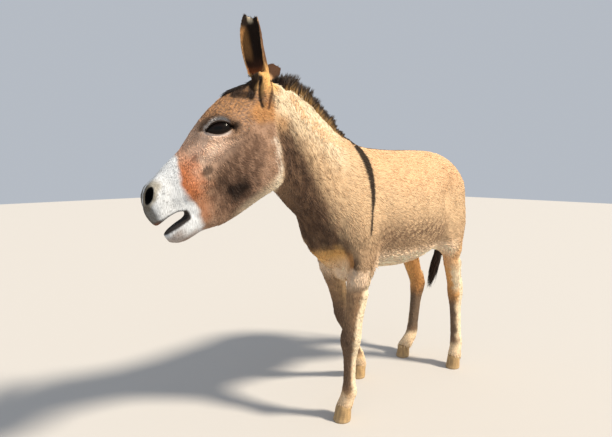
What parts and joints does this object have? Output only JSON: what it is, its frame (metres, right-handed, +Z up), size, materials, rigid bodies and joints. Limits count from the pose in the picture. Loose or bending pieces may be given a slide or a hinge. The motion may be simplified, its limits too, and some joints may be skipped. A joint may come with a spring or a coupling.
{
  "type": "standing donkey figure",
  "caption": "Life-size donkey that stands with its head raised and turned aside, mouth ajar, upright mane, one ear up and the other laid out.",
  "frame": {"origin": "on the ground, under the middle of the whole animal's box", "axes": "+Z up, -X the way that the body faces, -Y the animal's left side"},
  "size_m": [1.8054, 0.4304, 1.542],
  "materials": {
    "coat": "short sandy fawn hair that lies flat, matt",
    "muzzle": "very short near-white hair over dark skin, matt",
    "dark_hair": "stiff dark brown hair, slightly shiny",
    "hoof": "dry ochre horn with fine growth rings, satin",
    "eye": "wet, near-black brown, glossy"
  },
  "bodies": {
    "root": {"trunk": "coat", "neck": "coat", "head": "coat", "lower_jaw": "muzzle", "eye_left": "eye", "eye_right": "eye", "ear_left": "coat", "ear_right": "coat", "mane": "dark_hair", "forelock": "dark_hair", "forearm_left": "coat", "forearm_right": "coat", "fore_cannon_left": "coat", "fore_cannon_right": "coat", "fore_hoof_left": "hoof", "fore_hoof_right": "hoof", "gaskin_left": "coat", "gaskin_right": "coat", "hind_cannon_left": "coat", "hind_cannon_right": "coat", "hind_hoof_left": "hoof", "hind_hoof_right": "hoof", "dock": "coat", "tail_tuft": "dark_hair"}
  },
  "joints": []
}
